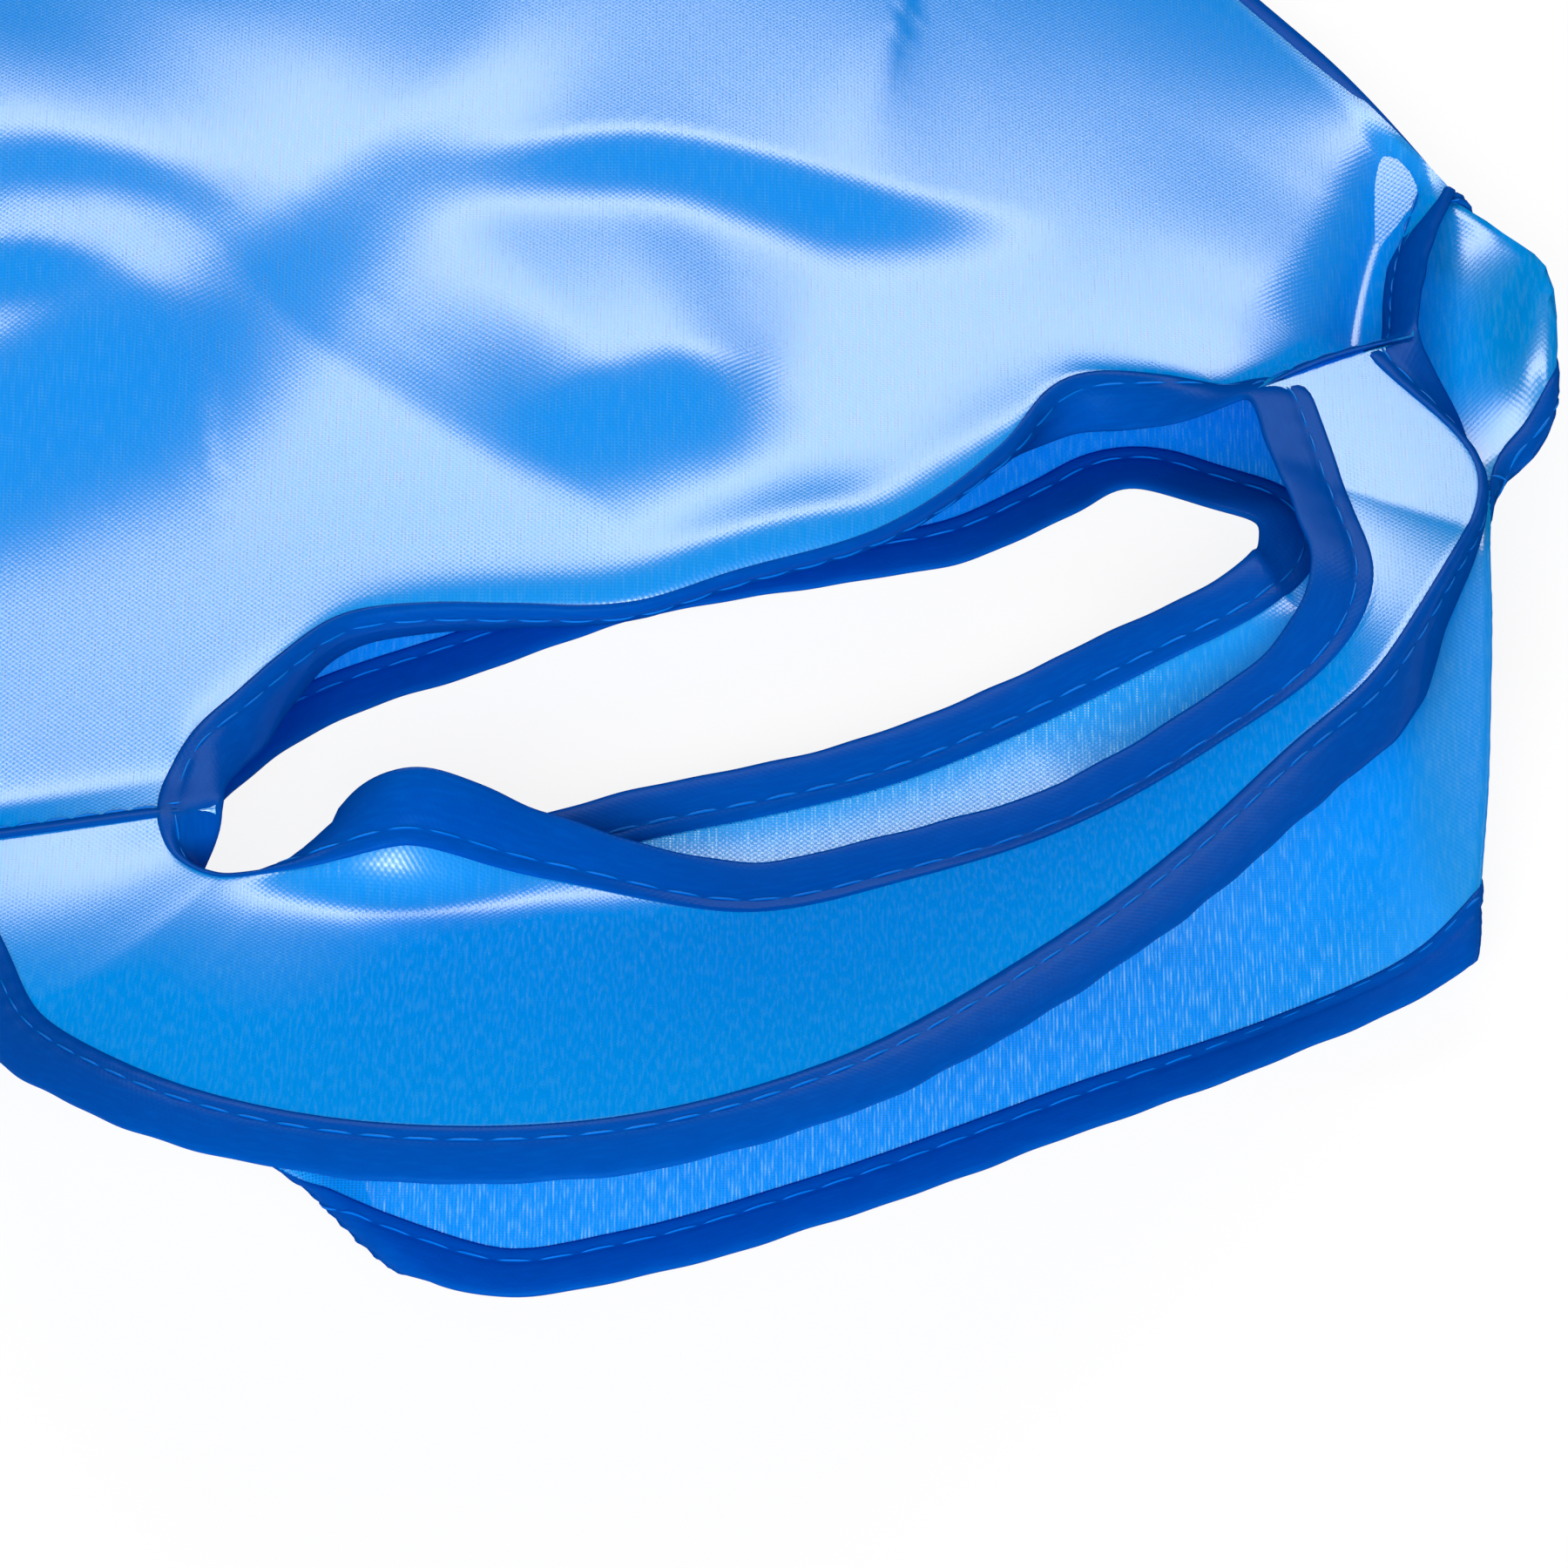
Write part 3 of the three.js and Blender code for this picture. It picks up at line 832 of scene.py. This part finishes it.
clothLook = {
    "color": (0.0, 0.41, 0.93, 1), "pale": (0.1, 0.58, 0.97, 1), "through": (0.0, 0.44, 0.92, 1),
    "roughness": 0.26, "translucency": 0.45, "clearness": 0.9, "streaks": 0.3,
    "grain": 26.5,  # degrees that the threads are turned
    "satin": (1.0, 0.0),  # gloss seen face on, and from a low view
    "sheen": (1, 1, 1, 1),
}
# The tape is the bag's own cloth folded in layers; its dark colour is painted shade for the light that the
# layers let through less. The seams use it too
tapeLook = {
    "color": (0.0, 0.075, 0.36, 1), "pale": (0.0, 0.14, 0.55, 1), "through": (0.0, 0.28, 0.82, 1),
    "roughness": 0.32, "translucency": 0.32, "clearness": 0.0, "streaks": 0.2, "grain": 0,
    "satin": (0.03, 0.0), "sheen": (0.1, 0.5, 1, 1),
}
threadLook = {
    "color": (0.0, 0.12, 0.5, 1), "pale": (0.0, 0.2, 0.6, 1), "through": (0.0, 0.12, 0.5, 1),
    "roughness": 0.4, "translucency": 0.0, "clearness": 0.0, "streaks": 0.0, "grain": 0,
    "satin": (0.1, 0.0), "sheen": (0.2, 0.6, 1, 1),
}


def addNode(tree, kind, links=(), **values):  # a node with its inputs set or linked
    node = tree.nodes.new(kind)
    for key, value in values.items():
        setattr(node, key, value)
    for socket, source in links:
        if hasattr(source, "is_output"):
            tree.links.new(source, node.inputs[socket])
        else:
            node.inputs[socket].default_value = source
    return node


weaveSettings = {
    "threads": (7000, 7000, 0),  # half a wave for every 0.45 mm thread
    "slubs": (2300, 260, 0),  # quick across a streak and slow along it
    "streaked": (0.46, 0.68),  # noise that shows as a streak
    "bump": 0.12,
    "depth": 0.00008,
}


def multiplied(tree, first, second, **values):
    product = addNode(tree, "ShaderNodeMath", [(0, first), (1, second)], operation="MULTIPLY", **values)
    return product.outputs[0]


def multipliedVector(tree, first, second):
    product = addNode(tree, "ShaderNodeVectorMath", [(0, first), (1, second)], operation="MULTIPLY")
    return product.outputs[0]


def threadWaves(tree, chart):  # waves along and across the threads, and slub streaks, from a map in metres
    threads = multipliedVector(tree, chart, weaveSettings["threads"])
    wave = addNode(tree, "ShaderNodeVectorMath", [(0, threads)], operation="SINE")
    stretch = multipliedVector(tree, chart, weaveSettings["slubs"])
    slubs = addNode(tree, "ShaderNodeTexNoise", [("Vector", stretch), ("Scale", 1.0), ("Detail", 3.0)])
    low, high = weaveSettings["streaked"]
    streak = addNode(tree, "ShaderNodeMapRange", [
        ("Value", slubs.outputs[0]), ("From Min", low), ("From Max", high)])
    return wave.outputs[0], streak.outputs[0]


def weaveGroup():  # plain weave and slub streaks
    group = bpy.data.node_groups.new("plainWeave", "ShaderNodeTree")
    group.interface.new_socket("Map", in_out="INPUT", socket_type="NodeSocketVector")
    group.interface.new_socket("Height", in_out="OUTPUT", socket_type="NodeSocketFloat")
    group.interface.new_socket("Streak", in_out="OUTPUT", socket_type="NodeSocketFloat")
    given = group.nodes.new("NodeGroupInput")
    result = group.nodes.new("NodeGroupOutput")
    wave, streak = threadWaves(group, given.outputs["Map"])
    parts = addNode(group, "ShaderNodeSeparateXYZ", [(0, wave)])
    group.links.new(multiplied(group, parts.outputs[0], parts.outputs[1]), result.inputs["Height"])
    group.links.new(streak, result.inputs["Streak"])
    return group


def weaveGaps(tree, chart):  # how open the weave is between the threads, more so in a streak
    wave, streak = threadWaves(tree, chart)
    parts = addNode(tree, "ShaderNodeSeparateXYZ", [(0, multipliedVector(tree, wave, wave))])
    gap = multiplied(tree, parts.outputs[0], parts.outputs[1])
    loose = addNode(tree, "ShaderNodeMath", [(0, streak), (1, 1.4), (2, 0.6)], operation="MULTIPLY_ADD")
    return multiplied(tree, gap, loose.outputs[0])


weave = weaveGroup()


def clothMaterial(name, look):
    material = bpy.data.materials.new(name)
    material.use_nodes = True
    tree = material.node_tree
    tree.nodes.clear()
    chart = addNode(tree, "ShaderNodeUVMap", uv_map="weave")
    turned = addNode(tree, "ShaderNodeMapping", [("Vector", chart.outputs[0])])
    turned.inputs["Rotation"].default_value[2] = math.radians(look["grain"])
    pattern = addNode(tree, "ShaderNodeGroup", node_tree=weave)
    tree.links.new(turned.outputs[0], pattern.inputs["Map"])
    paleShare = multiplied(tree, pattern.outputs["Streak"], look["streaks"])
    tint = addNode(
        tree, "ShaderNodeMix", [(0, paleShare), (6, look["color"]), (7, look["pale"])], data_type="RGBA")
    bump = addNode(tree, "ShaderNodeBump", [
        ("Strength", weaveSettings["bump"]), ("Distance", weaveSettings["depth"]),
        ("Height", pattern.outputs["Height"]),
    ])
    facing = addNode(tree, "ShaderNodeLayerWeight", [("Blend", 0.5)])
    satin = addNode(tree, "ShaderNodeMapRange", [
        ("Value", facing.outputs["Facing"]), ("From Min", 0.36), ("From Max", 0.58),
        ("To Min", look["satin"][0]), ("To Max", look["satin"][1]),
    ])  # the threads hide one another from a low view
    shader = addNode(tree, "ShaderNodeBsdfPrincipled", [
        ("Base Color", tint.outputs[2]), ("Roughness", look["roughness"]), ("IOR", 1.75),
        ("Specular IOR Level", satin.outputs[0]), ("Specular Tint", look["sheen"]),
        ("Normal", bump.outputs[0]),
    ])
    surface = shader.outputs["BSDF"]
    if look["translucency"]:
        glow = addNode(tree, "ShaderNodeBsdfTranslucent", [("Color", look["through"])])
        blend = addNode(tree, "ShaderNodeMixShader", [
            (0, look["translucency"]), (1, surface), (2, glow.outputs[0])])
        surface = blend.outputs["Shader"]
    if look["clearness"]:
        clear = addNode(tree, "ShaderNodeBsdfTransparent", [("Color", (0.85, 0.95, 1, 1))])
        # how open the weave is, lowered in places as painted shade so that less white shows through there
        sheerAndShade = addNode(tree, "ShaderNodeAttribute", attribute_name="sheerAndShade")
        amount = multiplied(tree, sheerAndShade.outputs["Fac"], look["clearness"])
        seeThrough = multiplied(tree, weaveGaps(tree, turned.outputs[0]), amount, use_clamp=True)
        gaps = addNode(tree, "ShaderNodeMixShader", [(0, seeThrough), (1, surface), (2, clear.outputs[0])])
        surface = gaps.outputs["Shader"]
    addNode(tree, "ShaderNodeOutputMaterial", [("Surface", surface)])
    return material


clothFinish = clothMaterial("wovenCloth", clothLook)
tapeFinish = clothMaterial("foldedTape", tapeLook)
threadFinish = clothMaterial("sewingThread", threadLook)


def finishPiece(piece, material):
    piece.data.materials.clear()
    piece.data.materials.append(material)
    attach(piece, "root")


for piece in (frontPanel, frontHandle, backPanel, backHandle):
    finishPiece(piece, clothFinish)
for piece in [*tapes.values(), *seams.values(), sideSeam]:
    finishPiece(piece, tapeFinish)
for piece in stitches.values():
    finishPiece(piece, threadFinish)

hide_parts("front_panel")
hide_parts("front_handle")
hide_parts("back_panel")
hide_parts("back_handle")
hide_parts("front_hole_binding")
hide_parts("front_mouth_binding")
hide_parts("back_hole_binding")
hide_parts("back_mouth_binding")
print("materials set")

# Floor, light and camera

floorSettings = {"size": 6, "color": (0.9, 0.9, 0.9, 1), "whiteShare": 0.88}
bpy.ops.mesh.primitive_plane_add(size=floorSettings["size"], location=(0, 0, 0))
floor = bpy.context.object
floor.name = "floor"
paper = bpy.data.materials.new("whitePaper")
paper.use_nodes = True
sheet = paper.node_tree
sheet.nodes.clear()
matte = addNode(sheet, "ShaderNodeBsdfDiffuse", [("Color", floorSettings["color"])])
white = addNode(sheet, "ShaderNodeEmission", [("Color", (1, 1, 1, 1)), ("Strength", 1.0)])
path = addNode(sheet, "ShaderNodeLightPath")
seen = path.outputs["Is Camera Ray"]
for ray in ("Is Glossy Ray", "Is Transmission Ray"):  # white also where it is seen by way of the cloth
    either = addNode(sheet, "ShaderNodeMath", [(0, seen), (1, path.outputs[ray])], operation="MAXIMUM")
    seen = either.outputs[0]
whiteShare = multiplied(sheet, seen, floorSettings["whiteShare"])  # the rest of it takes the bag's shadow
page = addNode(sheet, "ShaderNodeMixShader", [(0, whiteShare), (1, matte.outputs[0]), (2, white.outputs[0])])
addNode(sheet, "ShaderNodeOutputMaterial", [("Surface", page.outputs[0])])
floor.data.materials.append(paper)

viewSettings = {"yaw": 26.5, "elevation": 42, "aim": (0.0053, -0.1481, 0), "distance": 1.6, "lens": 288}
yaw, tilt = math.radians(viewSettings["yaw"]), math.radians(viewSettings["elevation"])
sight = Vector((math.sin(yaw) * math.cos(tilt), math.cos(yaw) * math.cos(tilt), -math.sin(tilt)))
aim = Vector(viewSettings["aim"])
cameraData = bpy.data.cameras.new("camera")
cameraData.lens = viewSettings["lens"]
cameraData.sensor_width = 36
cameraData.clip_end = 50
camera = bpy.data.objects.new("camera", cameraData)
bpy.context.collection.objects.link(camera)
camera.location = aim - sight * viewSettings["distance"]
camera.rotation_euler = sight.to_track_quat("-Z", "Y").to_euler()
bpy.context.scene.camera = camera

lightSettings = {  # degrees round and up, distance, size, power
    "farLight": (26.5, 35, 1.6, (1.5, 0.6), 20),  # mirrored in the level cloth
    "frontLight": (208, 32, 1.8, (1.4, 0.8), 53),
}


def softbox(name, azimuth, elevation, distance, size, power):
    lamp = bpy.data.lights.new(name, "AREA")
    lamp.shape = "RECTANGLE"
    lamp.size, lamp.size_y = size
    lamp.energy = power
    stand = bpy.data.objects.new(name, lamp)
    bpy.context.collection.objects.link(stand)
    around, above = math.radians(azimuth), math.radians(elevation)
    away = Vector((math.sin(around) * math.cos(above), math.cos(around) * math.cos(above), math.sin(above)))
    stand.location = aim + away * distance
    stand.rotation_euler = (-away).to_track_quat("-Z", "Y").to_euler()


for name, values in lightSettings.items():
    softbox(name, *values)

world = bpy.data.worlds.new("studio")
bpy.context.scene.world = world
world.use_nodes = True
background = world.node_tree.nodes["Background"]
background.inputs["Color"].default_value = (1, 1, 1, 1)
background.inputs["Strength"].default_value = 0.08
bpy.context.scene.view_settings.view_transform = "Standard"
print("stage set")
